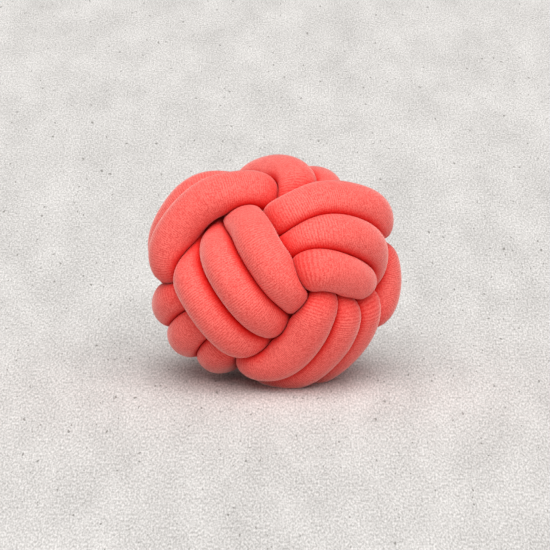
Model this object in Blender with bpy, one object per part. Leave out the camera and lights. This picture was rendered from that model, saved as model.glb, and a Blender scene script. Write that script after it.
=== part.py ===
"""Knot cushion: one long stuffed tube of knitted cotton, tied into a ball.

The knot is a Turk's head of four bights, with every strand laid three times. It shows eight
patches of three strands side by side, and each patch lies across the three strands beneath it.
The tube closes on itself inside the ball. X is the width, the front faces -Y, Z is up.
"""

import math

import bpy
import numpy as np

# Driving dimensions, in metres and degrees
STRAND = 0.049          # diameter of the stuffed tube
LEAN = 12.0             # how far the ball has rolled back from the pose of the table below
FLAT = 0.0110           # how far its own weight flattens the ball's underside
GAP = 0.0020            # space left between strands that press together

# The eight patches. Azimuth runs from the front towards +X and elevation up, to the middle of the
# patch; heading is the way its strands run, from azimuth towards elevation. The other columns are
# in strand diameters: radius is from the ball's centre to the strands' centre lines, spacing is
# between neighbours, slip moves the left lane forward and the right lane back, the lifts raise
# those lanes, and the columns that begin with under place the strands that pass beneath. Reach is
# how straight the strands lie.
COLUMNS = ("azimuth", "elevation", "heading", "radius", "reach", "spacing", "slip", "left_lift",
           "right_lift", "under_depth", "under_tilt", "under_reach", "under_spacing", "under_shift")
PATCHES = {
    "front":       (-22,  -9, -56, 2.50, 1.5, 1.00, 0.0, 0.08,  0.00, 1.25, -0.15, 1.2, 0.85, 0.00),
    "right":       ( 43,  18, -11, 2.58, 1.6, 0.92, 0.5, 0.10,  0.00, 0.70, 0.00, 1.2, 0.65, 0.00),
    "top":         (148,  62, -20, 2.28, 1.5, 1.00, 0.0, 0.00,  0.00, 1.20, 0.00, 0.8, 1.32, 0.15),
    "left":        (-85,  32, 249, 2.69, 1.8, 1.00, 0.0, 0.08,  0.00, 1.35, 0.40, 1.0, 0.85, 0.00),
    "lower left":  (-97, -37,   4, 2.60, 1.5, 0.80, 0.0, 0.00, -0.20, 0.90, 0.00, 1.2, 0.85, 0.00),
    "lower right": ( 48, -50,  92, 2.40, 1.9, 0.85, 0.0, 0.00,  0.00, 1.00, 0.00, 1.2, 0.85, 0.00),
    "far right":   (115, -12,  95, 2.55, 1.5, 1.00, 0.0, 0.00,  0.00, 1.00, 0.00, 1.2, 0.65, 0.00),
    "back":        (194,  -2,  28, 2.50, 1.5, 1.00, 0.0, 0.00,  0.00, 1.00, 0.00, 1.2, 0.85, 0.00),
}
# One circuit of the knot: over the first patch, under the second, over the third and so on
ROUTE = ("lower left", "front", "right", "far right", "back", "left", "front", "lower right",
         "far right", "top", "left", "lower left", "lower right", "right", "top", "back")
LANES = (1, 0, -1)      # the left, middle and right strand of a patch, one for each circuit

CROSSING_DEPTH = 0.9    # how much deeper the strand goes that crosses back to the first lane
CHANGE_SLANT = 0.35     # slope of a strand as it moves over by one lane, and back by two
CROSSING_SLANT = 0.8

# How the route settles inside the ball. Lengths are in strand diameters.
POINTS = 560
SETTLE_STEPS = 120
CLEARANCE = 0.75        # strands are pushed apart to this distance, centre to centre
PUSH = 0.35             # share of a push that is made in one step
LONGEST_PUSH = 0.08
STIFFNESS = 0.2         # how strongly the tube evens out its bends
HOLD = 0.6              # how strongly a held stretch returns to its place
HELD = 0.9              # length each side of a patch's middle that keeps its place
FREE = 1.7              # and the distance beyond which the tube is free to move
NEIGHBOUR = 1.3         # parts of the tube nearer than this along it don't press on each other
SMOOTHINGS = 40

# The tube's wall around that route, in strand diameters
RINGS = 490
SIDES = 12
PRESSES = 1400          # points of the route that a ring may press against
PRESSING = 1.45         # strands whose centre lines are nearer than this may press
SWELL = 1.12            # most that a pressed strand bulges where it is free
INNER_SWELL = 1.4       # and most that it bulges inside the ball
INSIDE = 1.4            # distance from the ball's centre that counts as inside
OUTSIDE = 2.0           # and the distance from which nothing does
BEND_ROOM = 0.85        # share of a bend's radius that the tube may fill on its inner side
THINNEST = 0.08         # least distance from the centre line to the wall
WIDEST = 9.0            # stands for a wall that nothing stops

CORAL = (0.89, 0.13, 0.115, 1.0)


def unit(vector):
    return vector / np.linalg.norm(vector)


def patch_axes(patch):
    """Outward, along and left-hand directions at the middle of a patch."""
    azimuth, elevation, heading = (math.radians(patch[k]) for k in ("azimuth", "elevation", "heading"))
    outward = np.array((math.sin(azimuth) * math.cos(elevation),
                        -math.cos(azimuth) * math.cos(elevation),
                        math.sin(elevation)))
    east = np.array((math.cos(azimuth), math.sin(azimuth), 0.0))
    north = np.cross(outward, east)
    along = math.cos(heading) * east + math.sin(heading) * north
    return outward, along, np.cross(outward, along)


def over_stop(patch, axes, lane):
    """Where the strand in this lane crosses the middle of a patch, and its direction."""
    outward, along, left = axes
    turn = lane * patch["spacing"] / patch["radius"]
    lift = {1: patch["left_lift"], 0: 0.0, -1: patch["right_lift"]}[lane]
    place = (patch["radius"] + lift) * (math.cos(turn) * outward + math.sin(turn) * left)
    return place + lane * patch["slip"] * along, along


def under_stop(patch, axes, before, after, lane, circuit):
    """Where a strand passes beneath a patch. A circuit number is given where it changes lane."""
    outward = axes[0]
    onward = after - before
    onward = unit(onward - onward.dot(outward) * outward)
    left = np.cross(outward, onward)
    depth = patch["under_depth"] + patch["under_tilt"] * lane
    direction = onward
    if circuit is not None and circuit < 2:
        lane -= 0.5
        direction = unit(onward - CHANGE_SLANT * left)
    elif circuit is not None:
        lane = 0
        depth += CROSSING_DEPTH
        direction = unit(onward + CROSSING_SLANT * left)
    sideways = lane * patch["under_spacing"] + patch["under_shift"]
    return (patch["radius"] - depth) * outward + sideways * left, direction


def knot_stops():
    """Place, direction and reach of every stop along the three circuits, and which are on top."""
    patches = {name: dict(zip(COLUMNS, row)) for name, row in PATCHES.items()}
    axes = {name: patch_axes(patch) for name, patch in patches.items()}
    stops = []
    for circuit, lane in enumerate(LANES):
        for i, name in enumerate(ROUTE):
            patch = patches[name]
            if i % 2 == 0:
                place, direction = over_stop(patch, axes[name], lane)
                stops.append((place, direction, patch["reach"], True))
            else:
                before = axes[ROUTE[i - 1]][0]
                after = axes[ROUTE[(i + 1) % len(ROUTE)]][0]
                last = circuit if i == len(ROUTE) - 1 else None
                place, direction = under_stop(patch, axes[name], before, after, lane, last)
                stops.append((place, direction, patch["under_reach"], False))
    return stops


def spaced(points, count):
    """The closed line through the points, as evenly spaced points, and its length."""
    loop = np.vstack((points, points[:1]))
    run = np.concatenate(([0.0], np.cumsum(np.linalg.norm(np.diff(loop, axis=0), axis=1))))
    at = np.linspace(0.0, run[-1], count, endpoint=False)
    return np.stack([np.interp(at, run, loop[:, k]) for k in range(3)], axis=1), run


def rough_route(stops, steps=40):
    """A smooth line through the stops, and how firmly each of its points is held."""
    line = []
    for i, (place, direction, reach, _) in enumerate(stops):
        end, end_direction, end_reach, _ = stops[(i + 1) % len(stops)]
        length = np.linalg.norm(end - place)
        u = np.arange(steps)[:, None] / steps
        line.append((2 * u**3 - 3 * u**2 + 1) * place
                    + (u**3 - 2 * u**2 + u) * length * reach * direction
                    + (3 * u**2 - 2 * u**3) * end
                    + (u**3 - u**2) * length * end_reach * end_direction)
    points, run = spaced(np.concatenate(line), POINTS)
    on_top = np.array([run[i * steps] for i, stop in enumerate(stops) if stop[3]])
    along = np.arange(POINTS) * run[-1] / POINTS
    away = np.abs(along[:, None] - on_top[None])
    away = np.minimum(away, run[-1] - away).min(axis=1)
    return points, np.clip((FREE - away) / (FREE - HELD), 0.0, 1.0)


def smoothed(values, times, axis=0):
    for _ in range(times):
        values = (np.roll(values, 1, axis) + 2 * values + np.roll(values, -1, axis)) / 4
    return values


def settled_route(points, held):
    """The route with its hidden stretches pushed apart, as far as the strands on top leave room."""
    start = points.copy()
    ceiling = np.linalg.norm(start, axis=1)
    count = len(points)
    index = np.arange(count)
    step = np.linalg.norm(np.roll(points, -1, axis=0) - points, axis=1).mean()
    apart = np.abs(index[:, None] - index[None])
    others = np.minimum(apart, count - apart) * step > NEIGHBOUR
    loose = (1.0 - held)[:, None]
    for _ in range(SETTLE_STEPS):
        offset = points[:, None] - points[None]
        distance = np.sqrt((offset**2).sum(axis=2))
        near = others & (distance < CLEARANCE)
        weight = np.where(near, (CLEARANCE - distance) / np.maximum(distance, 0.001), 0.0)
        push = (offset * weight[..., None]).sum(axis=1)
        push *= PUSH / np.sqrt(np.maximum(near.sum(axis=1), 1))[:, None]
        size = np.linalg.norm(push, axis=1)
        push *= np.minimum(1.0, LONGEST_PUSH / np.maximum(size, 1e-9))[:, None]
        bow = (np.roll(points, 1, axis=0) + np.roll(points, -1, axis=0)) / 2 - points
        stiff = (np.roll(bow, 1, axis=0) + np.roll(bow, -1, axis=0)) / 2 - bow
        points = points + loose * (push + STIFFNESS * (bow - stiff))
        points = points + (HOLD * held**2)[:, None] * (start - points)
        radius = np.linalg.norm(points, axis=1)
        points = points * np.minimum(1.0, ceiling / radius)[:, None]
    return points


def fine_route(points, count):
    """The settled route as a smooth closed curve of count points."""
    fine = 8
    at = np.arange(len(points) * fine) / fine
    i = at.astype(int)
    f = (at - i)[:, None]
    a, b, c, d = (points[(i + k) % len(points)] for k in (-1, 0, 1, 2))
    curve = (2 * b + (c - a) * f + (2 * a - 5 * b + 4 * c - d) * f**2
             + (3 * b - a - 3 * c + d) * f**3) / 2
    return spaced(smoothed(curve, SMOOTHINGS), count)[0]


def side_directions(line, sides):
    """Directions from the line to the tube's wall, turning as little as the closed line allows."""
    along = np.roll(line, -1, axis=0) - np.roll(line, 1, axis=0)
    along /= np.linalg.norm(along, axis=1)[:, None]
    across = np.zeros_like(line)
    across[0] = unit(np.cross(along[0], (0.0, 0.0, 1.0)))
    for i in range(1, len(line)):
        across[i] = unit(across[i - 1] - across[i - 1].dot(along[i]) * along[i])
    closing = unit(across[-1] - across[-1].dot(along[0]) * along[0])
    twist = math.atan2(np.cross(closing, across[0]).dot(along[0]), closing.dot(across[0]))
    turn = (twist * np.arange(len(line)) / len(line))[:, None]
    turned = np.cos(turn) * across + np.sin(turn) * np.cross(along, across)
    angle = (np.arange(sides) * 2 * math.pi / sides)[None, :, None]
    return np.cos(angle) * turned[:, None] + np.sin(angle) * np.cross(along, turned)[:, None]


def room(line, sideways, presses):
    """How far the wall can go each way before it meets another strand or its own bend."""
    count = len(line)
    length = np.linalg.norm(np.roll(line, -1, axis=0) - line, axis=1).sum()
    at = np.arange(count) * length / count
    press_at = np.arange(len(presses)) * length / len(presses)
    limit = np.full(sideways.shape[:2], WIDEST)
    for i in range(count):
        offset = presses - line[i]
        squared = (offset**2).sum(axis=1)
        away = np.abs(press_at - at[i])
        near = (squared < PRESSING**2) & (np.minimum(away, length - away) > NEIGHBOUR)
        if near.any():
            facing = np.maximum(offset[near] @ sideways[i].T, 1e-6)
            limit[i] = (squared[near][:, None] / (2 * facing)).min(axis=0)
    bow = (np.roll(line, 1, axis=0) + np.roll(line, -1, axis=0) - 2 * line) / (length / count)**2
    inward = np.maximum((sideways * bow[:, None]).sum(axis=2), 1e-6)
    return np.minimum(limit, BEND_ROOM / inward)


def wall_radii(line, limit):
    """The tube's radius each way: round where it is free, flat where it presses on others."""
    limit = np.maximum(limit - GAP / STRAND / 2, THINNEST)
    inner = np.clip((OUTSIDE - np.linalg.norm(line, axis=1)) / (OUTSIDE - INSIDE), 0.0, 1.0)
    most = 0.5 * (SWELL + (INNER_SWELL - SWELL) * inner)
    free = np.full(len(limit), 0.5)
    for _ in range(6):
        radius = np.minimum(free[:, None], limit)
        filled = np.sqrt((radius**2).mean(axis=1)) / 0.5
        free = np.clip(smoothed(free / filled**0.8, 3), 0.5, most)
    radius = smoothed(np.minimum(free[:, None], limit), 1, axis=0)
    return np.minimum(radius, limit)


def resting(line, sideways):
    """The line and its side directions after the ball has rolled back by its lean."""
    lean = math.radians(LEAN)
    turn = np.array(((1.0, 0.0, 0.0),
                     (0.0, math.cos(lean), -math.sin(lean)),
                     (0.0, math.sin(lean), math.cos(lean))))
    return line @ turn, sideways @ turn


def strand_walls():
    """The points of the tube's wall, ring by ring, in metres, standing on z = 0."""
    points, held = rough_route(knot_stops())
    points = settled_route(points, held)
    line = fine_route(points, RINGS)
    sideways = side_directions(line, SIDES)
    radius = wall_radii(line, room(line, sideways, fine_route(points, PRESSES)))
    line, sideways = resting(line, sideways)
    wall = (line[:, None] + sideways * radius[..., None]) * STRAND
    ground = wall[..., 2].min() + FLAT
    below = wall[..., 2] < ground
    drop = (ground - line[:, None, 2] * STRAND) / np.minimum(sideways[..., 2], -1e-6)
    wall[below] = (line[:, None] * STRAND + sideways * drop[..., None])[below]
    low, high = wall.reshape(-1, 3).min(axis=0), wall.reshape(-1, 3).max(axis=0)
    wall -= ((low[0] + high[0]) / 2, (low[1] + high[1]) / 2, ground)
    wall[..., 2][below] = 0.0
    return wall


def knitted_cotton():
    material = bpy.data.materials.new("knitted cotton")
    material.use_nodes = True
    shader = material.node_tree.nodes["Principled BSDF"]
    shader.inputs["Base Color"].default_value = CORAL
    shader.inputs["Roughness"].default_value = 0.9
    shader.inputs["Metallic"].default_value = 0.0
    return material


def make_tube(name, wall):
    """A closed tube through the rings of a wall: the last ring joins the first."""
    rings, sides = wall.shape[:2]
    faces = []
    for i in range(rings):
        following = (i + 1) % rings
        for j in range(sides):
            beside = (j + 1) % sides
            faces.append((i * sides + j, i * sides + beside,
                          following * sides + beside, following * sides + j))
    mesh = bpy.data.meshes.new(name)
    mesh.from_pydata(wall.reshape(-1, 3).tolist(), [], faces)
    mesh.materials.append(knitted_cotton())
    mesh.shade_smooth()
    tube = bpy.data.objects.new(name, mesh)
    bpy.context.scene.collection.objects.link(tube)
    return tube


def main():
    for old in list(bpy.data.objects):
        bpy.data.objects.remove(old)
    make_tube("knotted_tube", strand_walls())


main()
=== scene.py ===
import math

import bpy
import numpy as np
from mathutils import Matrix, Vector


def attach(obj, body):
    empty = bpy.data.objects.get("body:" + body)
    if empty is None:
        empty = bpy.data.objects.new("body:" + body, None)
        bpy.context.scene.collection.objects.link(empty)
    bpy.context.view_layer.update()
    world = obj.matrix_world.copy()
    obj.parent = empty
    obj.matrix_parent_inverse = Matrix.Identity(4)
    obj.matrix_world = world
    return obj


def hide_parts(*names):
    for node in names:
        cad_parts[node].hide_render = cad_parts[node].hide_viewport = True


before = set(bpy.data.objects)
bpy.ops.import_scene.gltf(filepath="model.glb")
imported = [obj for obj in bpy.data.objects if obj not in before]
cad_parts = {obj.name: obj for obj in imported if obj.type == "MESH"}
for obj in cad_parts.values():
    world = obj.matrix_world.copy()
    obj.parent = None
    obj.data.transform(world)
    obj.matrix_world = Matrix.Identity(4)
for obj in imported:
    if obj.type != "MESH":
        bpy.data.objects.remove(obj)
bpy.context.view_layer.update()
print("frame loaded")


def addNode(tree, kind, inputs=None, **settings):
    node = tree.nodes.new(kind)
    for name, value in settings.items():
        setattr(node, name, value)
    for name, value in (inputs or {}).items():
        if isinstance(value, bpy.types.NodeSocket):
            tree.links.new(value, node.inputs[name])
        else:
            node.inputs[name].default_value = value
    return node


def hexColour(text):
    channels = [int(text[i:i + 2], 16) / 255 for i in (1, 3, 5)]
    return [c / 12.92 if c <= 0.04045 else ((c + 0.055) / 1.055)**2.4 for c in channels] + [1.0]


def unit(vector):
    return vector / np.linalg.norm(vector)


# The knotted tube. It is tied as a Turk's head of four bights with every strand laid three times:
# eight patches of three strands, each lying across the three beneath it. Lengths without a unit
# are in strand diameters.
tube = {
    "strand": 0.049,         # metres
    "lean": 12.0,            # degrees that the ball has rolled back from the pose of the table
    "flat": 0.0110,          # metres that its own weight presses the underside flat
    "gap": 0.0008,           # metres between strands that press together
    "crossingDepth": 0.9,    # extra depth of the strand that goes back to the first lane
    "changeSlant": 0.35,     # slopes of the strands that change lane inside the ball
    "crossingSlant": 0.8,
    # How the route settles inside the ball
    "points": 560,           # of the route while it settles
    "settleSteps": 120,
    "clearance": 0.75,       # strands are pushed apart to this distance, centre to centre
    "push": 0.35,            # share of a push that is made in one step
    "longestPush": 0.08,
    "stiffness": 0.2,        # how strongly the tube evens out its bends
    "hold": 0.6,             # how strongly a held stretch returns to its place
    "held": 0.9,             # length each side of a patch's middle that keeps its place
    "free": 1.7,             # and the distance beyond which the tube is free to move
    "neighbour": 1.3,        # stretches nearer than this along the tube don't press on each other
    "routeSmoothings": 40,
    # The wall round that route
    "rings": 2000,
    "sides": 48,             # of each ring
    "presses": 1400,         # points of the route that a ring may press against
    "pressing": 1.45,        # strands whose centre lines are nearer than this may press
    "swell": 1.12,           # most that a pressed strand bulges where it is free
    "innerSwell": 1.4,       # and most that it bulges inside the ball
    "inside": 1.4,           # distance from the ball's centre that counts as inside
    "outside": 2.0,          # and the distance from which nothing does
    "swellSteps": 6,
    "swellRate": 0.8,        # how much of its lost girth a squeezed ring makes up in one step
    "swellSmoothings": 40,
    "bendRoom": 0.85,        # share of a bend's radius that the tube may fill on its inner side
    "bendSmoothings": 20,
    "thinnest": 0.08,        # least distance from the centre line to the wall
    "widest": 9.0,           # stands for a wall that nothing stops
    "lumps": 0.006,          # unevenness of the filling
    "lumpWaves": ((61, 2), (97, -1), (149, 3)),      # along the whole tube, and round it
    "foldShadeWidth": 0.19,       # room beside the folds within which the red is painted deeper and the sheen fades, as painted shade
    "foldShadeSmoothings": 12,
}

# Azimuth runs from the front towards +X, elevation up, and heading from azimuth towards
# elevation. Radius is out to the centre lines, reach is how straight the strands lie, spacing is
# between neighbours, slip moves the left lane forward and the right lane back, the lifts raise
# those lanes, and the columns that begin with under place the strands that pass beneath.
columns = ("azimuth", "elevation", "heading", "radius", "reach", "spacing", "slip", "leftLift",
           "rightLift", "underDepth", "underTilt", "underReach", "underSpacing", "underShift")
patches = {
    "front":       (-22,  -9, -56, 2.50, 1.5, 1.00, 0.0, 0.08,  0.00, 1.25, -0.15, 1.2, 0.85, 0.00),
    "right":       ( 43,  18, -11, 2.58, 1.6, 0.92, 0.5, 0.10,  0.00, 0.70, 0.00, 1.2, 0.65, 0.00),
    "top":         (148,  62, -20, 2.28, 1.5, 1.00, 0.0, 0.00,  0.00, 1.20, 0.00, 0.8, 1.32, 0.15),
    "left":        (-85,  32, 249, 2.69, 1.8, 1.00, 0.0, 0.08,  0.00, 1.35, 0.40, 1.0, 0.85, 0.00),
    "lower left":  (-97, -37,   4, 2.60, 1.5, 0.80, 0.0, 0.00, -0.20, 0.90, 0.00, 1.2, 0.85, 0.00),
    "lower right": ( 48, -50,  92, 2.40, 1.9, 0.85, 0.0, 0.00,  0.00, 1.00, 0.00, 1.2, 0.85, 0.00),
    "far right":   (115, -12,  95, 2.55, 1.5, 1.00, 0.0, 0.00,  0.00, 1.00, 0.00, 1.2, 0.65, 0.00),
    "back":        (194,  -2,  28, 2.50, 1.5, 1.00, 0.0, 0.00,  0.00, 1.00, 0.00, 1.2, 0.85, 0.00),
}
# One circuit: over the first patch, under the second, over the third and so on
circuit = ("lower left", "front", "right", "far right", "back", "left", "front", "lower right",
           "far right", "top", "left", "lower left", "lower right", "right", "top", "back")
lanes = (1, 0, -1)           # left, middle and right strand, one for each time round


def patchAxes(patch):
    # outward, along the strands, and to their left
    azimuth = math.radians(patch["azimuth"])
    elevation = math.radians(patch["elevation"])
    heading = math.radians(patch["heading"])
    outward = np.array((math.sin(azimuth) * math.cos(elevation),
                        -math.cos(azimuth) * math.cos(elevation),
                        math.sin(elevation)))
    east = np.array((math.cos(azimuth), math.sin(azimuth), 0.0))
    north = np.cross(outward, east)
    along = math.cos(heading) * east + math.sin(heading) * north
    return outward, along, np.cross(outward, along)


def overStop(patch, axes, lane):
    outward, along, left = axes
    turn = lane * patch["spacing"] / patch["radius"]
    lift = {1: patch["leftLift"], 0: 0.0, -1: patch["rightLift"]}[lane]
    place = (patch["radius"] + lift) * (math.cos(turn) * outward + math.sin(turn) * left)
    return place + lane * patch["slip"] * along, along


def underStop(patch, axes, before, after, lane, timeRound):
    # timeRound is given only where the strand changes lane
    outward = axes[0]
    onward = after - before
    onward = unit(onward - onward.dot(outward) * outward)
    left = np.cross(outward, onward)
    depth = patch["underDepth"] + patch["underTilt"] * lane
    direction = onward
    if timeRound is not None and timeRound < 2:
        lane -= 0.5          # halfway to the next lane
        direction = unit(onward - tube["changeSlant"] * left)
    elif timeRound is not None:
        lane = 0
        depth += tube["crossingDepth"]
        direction = unit(onward + tube["crossingSlant"] * left)
    sideways = lane * patch["underSpacing"] + patch["underShift"]
    place = (patch["radius"] - depth) * outward + sideways * left
    return place, direction


def knotStops():
    table = {name: dict(zip(columns, row)) for name, row in patches.items()}
    axes = {name: patchAxes(patch) for name, patch in table.items()}
    stops = []
    for timeRound, lane in enumerate(lanes):
        for i, name in enumerate(circuit):
            patch = table[name]
            if i % 2 == 0:
                place, direction = overStop(patch, axes[name], lane)
                stops.append((place, direction, patch["reach"], True))
            else:
                before = axes[circuit[i - 1]][0]
                after = axes[circuit[(i + 1) % len(circuit)]][0]
                last = timeRound if i == len(circuit) - 1 else None
                place, direction = underStop(patch, axes[name], before, after, lane, last)
                stops.append((place, direction, patch["underReach"], False))
    return stops


def spaced(points, count):
    loop = np.vstack((points, points[:1]))
    run = np.concatenate(([0.0], np.cumsum(np.linalg.norm(np.diff(loop, axis=0), axis=1))))
    at = np.linspace(0.0, run[-1], count, endpoint=False)
    return np.stack([np.interp(at, run, loop[:, k]) for k in range(3)], axis=1), run


def roughRoute(stops, steps=40):
    # a smooth line through the stops, and how firmly each of its points is held
    line = []
    for i, (place, direction, reach, _) in enumerate(stops):
        end, endDirection, endReach, _ = stops[(i + 1) % len(stops)]
        length = np.linalg.norm(end - place)
        u = np.arange(steps)[:, None] / steps
        line.append((2 * u**3 - 3 * u**2 + 1) * place
                    + (u**3 - 2 * u**2 + u) * length * reach * direction
                    + (3 * u**2 - 2 * u**3) * end
                    + (u**3 - u**2) * length * endReach * endDirection)
    count = tube["points"]
    points, run = spaced(np.concatenate(line), count)
    onTop = np.array([run[i * steps] for i, stop in enumerate(stops) if stop[3]])
    along = np.arange(count) * run[-1] / count
    away = np.abs(along[:, None] - onTop[None])
    away = np.minimum(away, run[-1] - away).min(axis=1)
    return points, np.clip((tube["free"] - away) / (tube["free"] - tube["held"]), 0.0, 1.0)


def smoothed(values, times, axis=0):
    for _ in range(times):
        values = (np.roll(values, 1, axis) + 2 * values + np.roll(values, -1, axis)) / 4
    return values


def settledRoute(points, held):
    # the hidden stretches push each other apart, as far as the strands on top leave room
    start = points.copy()
    ceiling = np.linalg.norm(start, axis=1)
    count = len(points)
    index = np.arange(count)
    step = np.linalg.norm(np.roll(points, -1, axis=0) - points, axis=1).mean()
    apart = np.abs(index[:, None] - index[None])
    others = np.minimum(apart, count - apart) * step > tube["neighbour"]
    loose = (1.0 - held)[:, None]
    for _ in range(tube["settleSteps"]):
        offset = points[:, None] - points[None]
        distance = np.sqrt((offset**2).sum(axis=2))
        near = others & (distance < tube["clearance"])
        weight = np.where(near, (tube["clearance"] - distance) / np.maximum(distance, 0.001), 0.0)
        push = (offset * weight[..., None]).sum(axis=1)
        push *= tube["push"] / np.sqrt(np.maximum(near.sum(axis=1), 1))[:, None]
        size = np.linalg.norm(push, axis=1)
        push *= np.minimum(1.0, tube["longestPush"] / np.maximum(size, 1e-9))[:, None]
        bow = (np.roll(points, 1, axis=0) + np.roll(points, -1, axis=0)) / 2 - points
        stiff = (np.roll(bow, 1, axis=0) + np.roll(bow, -1, axis=0)) / 2 - bow
        points = points + loose * (push + tube["stiffness"] * (bow - stiff))
        points = points + (tube["hold"] * held**2)[:, None] * (start - points)
        radius = np.linalg.norm(points, axis=1)
        points = points * np.minimum(1.0, ceiling / radius)[:, None]
    return points


def fineRoute(points, count, fine=8):
    # a curve through the settled points, with the kinks smoothed out
    at = np.arange(len(points) * fine) / fine
    i = at.astype(int)
    f = (at - i)[:, None]
    a, b, c, d = (points[(i + k) % len(points)] for k in (-1, 0, 1, 2))
    curve = (2 * b + (c - a) * f + (2 * a - 5 * b + 4 * c - d) * f**2
             + (3 * b - a - 3 * c + d) * f**3) / 2
    return spaced(smoothed(curve, tube["routeSmoothings"]), count)[0]


def sweepTree():
    # sweeps a round tube along the line
    tree = bpy.data.node_groups.new("sweep a tube", "GeometryNodeTree")
    for name, kind in (("Line", "NodeSocketGeometry"), ("Diameter", "NodeSocketFloat"),
                       ("Sides", "NodeSocketInt"), ("Material", "NodeSocketMaterial")):
        tree.interface.new_socket(name, in_out="INPUT", socket_type=kind)
    tree.interface.new_socket("Tube", in_out="OUTPUT", socket_type="NodeSocketGeometry")
    given = addNode(tree, "NodeGroupInput").outputs
    radius = addNode(tree, "ShaderNodeMath", {0: given["Diameter"], 1: 0.5}, operation="MULTIPLY")
    ring = addNode(tree, "GeometryNodeCurvePrimitiveCircle",
                   {"Resolution": given["Sides"], "Radius": radius.outputs[0]})
    swept = addNode(tree, "GeometryNodeCurveToMesh",
                    {"Curve": given["Line"], "Profile Curve": ring.outputs["Curve"]})
    smooth = addNode(tree, "GeometryNodeSetShadeSmooth", {"Geometry": swept.outputs["Mesh"]})
    whole = addNode(tree, "GeometryNodeRealizeInstances", {"Geometry": smooth.outputs["Geometry"]})
    dressed = addNode(tree, "GeometryNodeSetMaterial",
                      {"Geometry": whole.outputs["Geometry"], "Material": given["Material"]})
    addNode(tree, "NodeGroupOutput", {"Tube": dressed.outputs["Geometry"]})
    return tree


def sweptTube(name, line, material):
    # line is in strand diameters
    curve = bpy.data.curves.new(name + " line", "CURVE")
    curve.dimensions = "3D"
    spline = curve.splines.new("POLY")
    spline.points.add(len(line) - 1)
    spline.use_cyclic_u = True
    places = np.hstack((line * tube["strand"], np.ones((len(line), 1))))
    spline.points.foreach_set("co", places.ravel())
    path = bpy.data.objects.new(name + " line", curve)
    bpy.context.scene.collection.objects.link(path)
    tree = sweepTree()
    modifier = path.modifiers.new("sweep", "NODES")
    modifier.node_group = tree
    values = {"Diameter": tube["strand"], "Sides": tube["sides"], "Material": material}
    for item in tree.interface.items_tree:
        if item.in_out == "INPUT" and item.name in values:
            modifier[item.identifier] = values[item.name]
    graph = bpy.context.evaluated_depsgraph_get()
    mesh = bpy.data.meshes.new_from_object(path.evaluated_get(graph))
    bpy.data.objects.remove(path)
    piece = bpy.data.objects.new(name, mesh)
    bpy.context.scene.collection.objects.link(piece)
    return piece


def wallRoom(line, sideways, presses):
    # how far the wall can go each way before it meets another strand or its own bend
    count = len(line)
    length = np.linalg.norm(np.roll(line, -1, axis=0) - line, axis=1).sum()
    at = np.arange(count) * length / count
    pressAt = np.arange(len(presses)) * length / len(presses)
    limit = np.full(sideways.shape[:2], tube["widest"])
    for i in range(count):
        offset = presses - line[i]
        squared = (offset**2).sum(axis=1)
        away = np.abs(pressAt - at[i])
        near = squared < tube["pressing"]**2
        near &= np.minimum(away, length - away) > tube["neighbour"]
        if near.any():
            facing = np.maximum(offset[near] @ sideways[i].T, 1e-6)
            limit[i] = (squared[near][:, None] / (2 * facing)).min(axis=0)
    bow = (np.roll(line, 1, axis=0) + np.roll(line, -1, axis=0) - 2 * line) / (length / count)**2
    bow = smoothed(bow, tube["bendSmoothings"])
    inward = np.maximum((sideways * bow[:, None]).sum(axis=2), 1e-6)
    return np.minimum(limit, tube["bendRoom"] / inward)


def wallRadii(line, limit):
    # round where the strand is free, flat where it presses on others, and how open the cloth
    # is: 0 in the folds, 1 away from them, which sets where the folds get painted shade
    rings, sides = limit.shape
    depth = (tube["outside"] - np.linalg.norm(line, axis=1)) / (tube["outside"] - tube["inside"])
    swell = tube["swell"] + (tube["innerSwell"] - tube["swell"]) * np.clip(depth, 0.0, 1.0)
    limit = np.maximum(limit - tube["gap"] / tube["strand"] / 2, tube["thinnest"])
    free = np.full(rings, 0.5)
    for _ in range(tube["swellSteps"]):
        radius = np.minimum(free[:, None], limit)
        filled = np.sqrt((radius**2).mean(axis=1)) / 0.5
        free = smoothed(free / filled**tube["swellRate"], tube["swellSmoothings"])
        free = np.clip(free, 0.5, 0.5 * swell)
    ring = np.arange(rings)[:, None] * 2 * math.pi / rings
    side = np.arange(sides)[None] * 2 * math.pi / sides
    lumps = sum(np.sin(along * ring + around * side) for along, around in tube["lumpWaves"]) / 3
    radius = np.minimum(free[:, None] * (1 + tube["lumps"] * lumps), limit)
    for _ in range(3):       # rounds the edges of the pressed faces
        radius = np.minimum(smoothed(smoothed(radius, 2, axis=0), 1, axis=1), limit)
    # how far the painted shade of the folds reaches
    foldShadeOpenness = np.clip((limit - radius) / tube["foldShadeWidth"], 0.0, 1.0)
    return radius, smoothed(smoothed(foldShadeOpenness, tube["foldShadeSmoothings"], axis=0), 1, axis=1)


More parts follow.
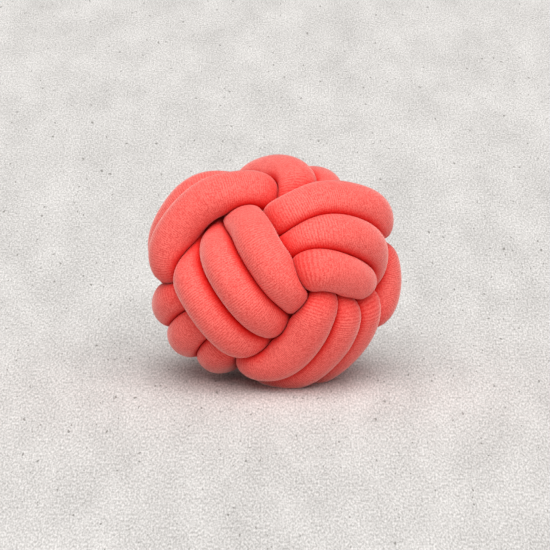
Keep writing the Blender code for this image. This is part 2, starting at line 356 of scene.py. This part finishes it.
def pressTube(piece, line, presses):
    # presses the round tube into the shape it takes in the knot, and stands it on the floor
    mesh = piece.data
    places = np.empty(len(mesh.vertices) * 3)
    mesh.vertices.foreach_get("co", places)
    spokes = places.reshape(len(line), tube["sides"], 3) / tube["strand"] - line[:, None]
    sideways = spokes / np.linalg.norm(spokes, axis=2)[..., None]
    radius, foldShadeOpenness = wallRadii(line, wallRoom(line, sideways, presses))
    lean = math.radians(tube["lean"])
    turn = np.array(((1.0, 0.0, 0.0),
                     (0.0, math.cos(lean), -math.sin(lean)),
                     (0.0, math.sin(lean), math.cos(lean))))
    line, sideways = line @ turn, sideways @ turn
    wall = (line[:, None] + sideways * radius[..., None]) * tube["strand"]
    ground = wall[..., 2].min() + tube["flat"]
    wall[..., 2] = np.maximum(wall[..., 2], ground)
    low, high = wall.reshape(-1, 3).min(axis=0), wall.reshape(-1, 3).max(axis=0)
    origin = Vector(((low[0] + high[0]) / 2, (low[1] + high[1]) / 2, ground))
    wall -= origin
    mesh.vertices.foreach_set("co", wall.ravel())
    # the attribute carries the painted shade of the folds to the material
    mesh.attributes.new("foldShadeOpenness", "FLOAT", "POINT").data.foreach_set("value", foldShadeOpenness.ravel())
    mesh.update()
    return -origin           # where the middle of the knot is now


def mapKnit(mesh, length):
    # U is metres along the tube and V is turns round it, and both run on where the tube closes
    rings, sides = tube["rings"], tube["sides"]
    corners = np.empty(len(mesh.loops), dtype=int)
    mesh.loops.foreach_get("vertex_index", corners)
    corners = corners.reshape(-1, 4)
    ring, side = corners // sides, corners % sides
    ring = np.where((ring == 0) & (ring.max(axis=1) == rings - 1)[:, None], rings, ring)
    side = np.where((side == 0) & (side.max(axis=1) == sides - 1)[:, None], sides, side)
    layer = mesh.uv_layers.new(name="knit")
    layer.data.foreach_set("uv", np.stack((ring * length / rings, side / sides), axis=2).ravel())


# The cloth. Sizes are in metres.
jersey = {
    "colour": "#EA6A61",
    "valleyShade": "#D0403A",     # painted shade between the rows of stitches, and the darker end of the cloth's random tone
    "foldShade": "#DA110B",       # painted shade: the deep red painted into the folds between strands
    "bloom": "#FFD0C8",      # pale fibre ends, seen at a grazing angle
    "rowPitch": 0.0021,      # between rows, because a real jersey's 0.7 mm is too fine to show
    "rowSway": 2.4,          # radians by which a row wanders
    "swaySize": 0.011,       # length over which it does so
    "rowTone": 0.50,         # how strongly the rows show
    "faintRows": 0.3,        # and the share of that where they show least
    "columns": 96,           # columns of stitches round the tube, 1.6 mm apart
    "columnTone": 0.18,
    "yarnLength": 0.005,     # along a row before its yarn gets thicker or thinner
    "yarnTone": 1.2,
    "fibreSize": 0.0016,     # specks of loose fibre, also drawn coarser than they are
    "fibreTone": 4.2,
    "cloudSize": 0.036,      # unevenness over some centimetres
    "cloudTone": 0.3,
    "cloudRange": (0.38, 0.62),      # of the clouds, from the faintest rows to the clearest
    "depth": 0.00040,        # of the relief
    "bump": 0.5,
    "sheen": 0.85,
    "sheenRoughness": 0.35,
    "specular": 0.4,
    "roughness": 0.8,
}


def knittedCotton(length):
    # Knitted cotton jersey: fine rows of stitches round the tube, matt, with a soft bloom of
    # loose fibre that turns pale where the surface is seen edge on.
    material = bpy.data.materials.new("knitted cotton jersey")
    material.use_nodes = True
    tree = material.node_tree
    shader = tree.nodes["Principled BSDF"]
    knit = addNode(tree, "ShaderNodeUVMap", uv_map="knit").outputs["UV"]
    split = addNode(tree, "ShaderNodeSeparateXYZ", {0: knit}).outputs
    along, turns = split["X"], split["Y"]          # metres along the tube, turns round it
    place = addNode(tree, "ShaderNodeTexCoord").outputs["Object"]

    wander = addNode(tree, "ShaderNodeTexNoise",
                     {"Vector": place, "Scale": 1 / jersey["swaySize"], "Detail": 2.0}).outputs[0]
    clouds = addNode(tree, "ShaderNodeTexNoise",
                     {"Vector": place, "Scale": 1 / jersey["cloudSize"], "Detail": 3.0}).outputs[0]
    fibre = addNode(tree, "ShaderNodeTexNoise",
                    {"Vector": place, "Scale": 1 / jersey["fibreSize"], "Detail": 2.0,
                     "Roughness": 0.6}).outputs[0]

    # rows of stitches, which wander and show more in some places than in others
    rowCount = round(length / jersey["rowPitch"])
    rowTurn = addNode(tree, "ShaderNodeMath", {0: along, 1: rowCount * 2 * math.pi / length},
                      operation="MULTIPLY").outputs[0]
    rowTurn = addNode(tree, "ShaderNodeMath", {0: wander, 1: jersey["rowSway"], 2: rowTurn},
                      operation="MULTIPLY_ADD").outputs[0]
    row = addNode(tree, "ShaderNodeMath", {0: rowTurn}, operation="SINE").outputs[0]
    faint, full = jersey["cloudRange"]
    rowShow = addNode(tree, "ShaderNodeMapRange",
                      {0: clouds, 1: faint, 2: full, 3: jersey["faintRows"], 4: 1.0}).outputs[0]
    rows = addNode(tree, "ShaderNodeMath", {0: row, 1: rowShow}, operation="MULTIPLY").outputs[0]
    columnTurn = addNode(tree, "ShaderNodeMath",
                         {0: turns, 1: jersey["columns"] * 2 * math.pi},
                         operation="MULTIPLY").outputs[0]
    column = addNode(tree, "ShaderNodeMath", {0: columnTurn}, operation="SINE").outputs[0]

    # each row's yarn gets thicker and thinner on its way round the tube
    angle = addNode(tree, "ShaderNodeMath", {0: turns, 1: 2 * math.pi},
                    operation="MULTIPLY").outputs[0]
    yarns = tube["strand"] / 2 / jersey["yarnLength"]
    across = []              # two coordinates of a circle, so that the yarn has no seam
    for wave in ("COSINE", "SINE"):
        side = addNode(tree, "ShaderNodeMath", {0: angle}, operation=wave).outputs[0]
        across.append(addNode(tree, "ShaderNodeMath", {0: side, 1: yarns},
                              operation="MULTIPLY").outputs[0])
    rowStep = addNode(tree, "ShaderNodeMath", {0: rowTurn, 1: 1 / math.pi},
                      operation="MULTIPLY").outputs[0]
    yarnPlace = addNode(tree, "ShaderNodeCombineXYZ",
                        {0: rowStep, 1: across[0], 2: across[1]}).outputs[0]
    yarn = addNode(tree, "ShaderNodeTexNoise",
                   {"Vector": yarnPlace, "Scale": 1.0, "Detail": 1.0}).outputs[0]

    relief = 0.5             # the waves lie about 0 and the noises about 0.5
    for value, strength, middle in ((rows, jersey["rowTone"], 0.0),
                                    (column, jersey["columnTone"], 0.0),
                                    (fibre, jersey["fibreTone"], 0.5),
                                    (clouds, jersey["cloudTone"], 0.5),
                                    (yarn, jersey["yarnTone"], 0.5)):
        part = addNode(tree, "ShaderNodeMath", {0: value, 1: strength, 2: -middle * strength},
                       operation="MULTIPLY_ADD").outputs[0]
        relief = addNode(tree, "ShaderNodeMath", {0: relief, 1: part}, operation="ADD").outputs[0]
    bump = addNode(tree, "ShaderNodeBump", {"Height": relief, "Strength": jersey["bump"],
                                            "Distance": jersey["depth"]})
    # the relief also sets the colour: painted shade in the valleys of the rows and columns of
    # stitches, and tone that differs at random with the fibre, the clouds and the yarn
    toneAndValleyShade = addNode(tree, "ShaderNodeMix",
                   {0: relief, 6: hexColour(jersey["valleyShade"]), 7: hexColour(jersey["colour"])},
                   data_type="RGBA").outputs[2]

    # painted shade: in the folds the red is painted deeper, and the sheen and the specular fade out
    # there
    foldShadeOpenness = addNode(tree, "ShaderNodeAttribute", attribute_name="foldShadeOpenness").outputs["Fac"]
    colour = addNode(tree, "ShaderNodeMix", {0: foldShadeOpenness, 6: hexColour(jersey["foldShade"]), 7: toneAndValleyShade},
                     data_type="RGBA").outputs[2]
    for name, most in (("Sheen Weight", jersey["sheen"]),
                       ("Specular IOR Level", jersey["specular"])):
        share = addNode(tree, "ShaderNodeMath", {0: foldShadeOpenness, 1: most}, operation="MULTIPLY")
        tree.links.new(share.outputs[0], shader.inputs[name])
    tree.links.new(colour, shader.inputs["Base Color"])
    tree.links.new(bump.outputs[0], shader.inputs["Normal"])
    shader.inputs["Roughness"].default_value = jersey["roughness"]
    shader.inputs["Sheen Roughness"].default_value = jersey["sheenRoughness"]
    shader.inputs["Sheen Tint"].default_value = hexColour(jersey["bloom"])
    return material


def makeTube():
    points, held = roughRoute(knotStops())
    points = settledRoute(points, held)
    line = fineRoute(points, tube["rings"])
    length = np.linalg.norm(np.roll(line, -1, axis=0) - line, axis=1).sum() * tube["strand"]
    print("route settled, %.2f m of tube" % length)
    cloth = knittedCotton(length)
    piece = sweptTube("stuffed_jersey_tube", line, cloth)
    middle = pressTube(piece, line, fineRoute(points, tube["presses"]))
    mapKnit(piece.data, length)
    print("tube pressed, %d faces" % len(piece.data.polygons))
    return piece, middle


cushion, knotMiddle = makeTube()
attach(cushion, "root")
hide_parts("knotted_tube")

# The floor. Sizes are in metres.
concrete = {
    "colour": "#DBD8D5",
    "shade": "#9F9C99",
    "pit": "#77746F",
    "side": 12.0,
    "drawnOut": 0.21,        # the pattern is longer in depth, because it is seen at a low angle
    "mottleSize": 0.07,
    "grainSize": 0.0021,
    "grainTone": 2.6,        # how much stronger the grain is than the mottle
    "toneRange": (1.2, 2.4),     # of the two together, from the shade to the colour
    "pitSize": 0.006,
    "pitRange": (0.70, 0.76),
    "pitTone": 0.8,
    "roughness": 0.95,
    "specular": 0.1,
}


def paleConcrete():
    # Pale smooth concrete: matt, softly mottled, with a sandy grain and fine pits
    material = bpy.data.materials.new("pale concrete")
    material.use_nodes = True
    tree = material.node_tree
    shader = tree.nodes["Principled BSDF"]
    place = addNode(tree, "ShaderNodeTexCoord").outputs["Object"]
    place = addNode(tree, "ShaderNodeVectorMath", {0: place, 1: (1.0, concrete["drawnOut"], 1.0)},
                    operation="MULTIPLY").outputs[0]
    mottle = addNode(tree, "ShaderNodeTexNoise",
                     {"Vector": place, "Scale": 1 / concrete["mottleSize"], "Detail": 8.0,
                      "Roughness": 0.65}).outputs[0]
    grain = addNode(tree, "ShaderNodeTexNoise",
                    {"Vector": place, "Scale": 1 / concrete["grainSize"], "Detail": 2.0}).outputs[0]
    tone = addNode(tree, "ShaderNodeMath", {0: grain, 1: concrete["grainTone"], 2: mottle},
                   operation="MULTIPLY_ADD").outputs[0]
    dark, pale = concrete["toneRange"]
    shade = addNode(tree, "ShaderNodeMapRange",
                    {0: tone, 1: dark, 2: pale, 3: 1.0, 4: 0.0}).outputs[0]
    pitted = addNode(tree, "ShaderNodeTexNoise",
                     {"Vector": place, "Scale": 1 / concrete["pitSize"], "Detail": 1.0}).outputs[0]
    whole, deepest = concrete["pitRange"]
    pits = addNode(tree, "ShaderNodeMapRange",
                   {0: pitted, 1: whole, 2: deepest, 3: 0.0, 4: concrete["pitTone"]}).outputs[0]
    grey = addNode(tree, "ShaderNodeMix",
                   {0: shade, 6: hexColour(concrete["colour"]), 7: hexColour(concrete["shade"])},
                   data_type="RGBA").outputs[2]
    colour = addNode(tree, "ShaderNodeMix",
                     {0: pits, 6: grey, 7: hexColour(concrete["pit"])},
                     data_type="RGBA").outputs[2]
    tree.links.new(colour, shader.inputs["Base Color"])
    shader.inputs["Roughness"].default_value = concrete["roughness"]
    shader.inputs["Specular IOR Level"].default_value = concrete["specular"]
    return material


def makeFloor():
    half = concrete["side"] / 2
    corners = [(-half, -half, 0), (half, -half, 0), (half, half, 0), (-half, half, 0)]
    mesh = bpy.data.meshes.new("floor")
    mesh.from_pydata(corners, [], [(0, 1, 2, 3)])
    mesh.materials.append(paleConcrete())
    floor = bpy.data.objects.new("floor", mesh)
    bpy.context.scene.collection.objects.link(floor)


# The light and the camera
studio = {
    "suns": {                # azimuth from the front, elevation and width in degrees, strength
        "key": (6, 58, 65, 3.7),
        "fill": (0, 5, 60, 1.0),
    },
    "worldLight": 0.38,      # soft light from all round
    "lens": 400.0,           # millimetres; the photo shows next to no perspective
    "cameraElevation": 12.0,
    "photoSize": 550,        # pixels of the photo's frame
    "strandWidth": 41.0,     # pixels
    "knotMiddle": (275.3, 270.6),    # its place in the photo
}


def lightStudio():
    for name, (azimuth, elevation, width, strength) in studio["suns"].items():
        light = bpy.data.lights.new(name, "SUN")
        light.energy = strength
        light.angle = math.radians(width)
        lamp = bpy.data.objects.new(name, light)
        lamp.rotation_euler = (math.radians(90 - elevation), 0.0, math.radians(azimuth))
        bpy.context.scene.collection.objects.link(lamp)
    world = bpy.data.worlds.new("studio")
    world.use_nodes = True
    background = world.node_tree.nodes["Background"]
    background.inputs["Color"].default_value = hexColour("#FFFFFF")
    background.inputs["Strength"].default_value = studio["worldLight"]
    bpy.context.scene.world = world


def placeCamera():
    data = bpy.data.cameras.new("camera")
    data.lens = studio["lens"]
    pixel = tube["strand"] / studio["strandWidth"]      # metres
    distance = studio["photoSize"] * pixel * data.lens / data.sensor_width
    elevation = math.radians(studio["cameraElevation"])
    back = Vector((0.0, -math.cos(elevation), math.sin(elevation)))
    up = Vector((0.0, math.sin(elevation), math.cos(elevation)))
    across = (studio["knotMiddle"][0] - studio["photoSize"] / 2) * pixel
    above = (studio["photoSize"] / 2 - studio["knotMiddle"][1]) * pixel
    target = knotMiddle - up * above - Vector((across, 0.0, 0.0))
    camera = bpy.data.objects.new("camera", data)
    camera.location = target + back * distance
    camera.rotation_mode = "QUATERNION"
    camera.rotation_quaternion = (-back).to_track_quat("-Z", "Y")
    bpy.context.scene.collection.objects.link(camera)
    bpy.context.scene.camera = camera


makeFloor()
lightStudio()
placeCamera()
bpy.context.scene.view_settings.view_transform = "Standard"
print("floor, light and camera placed")
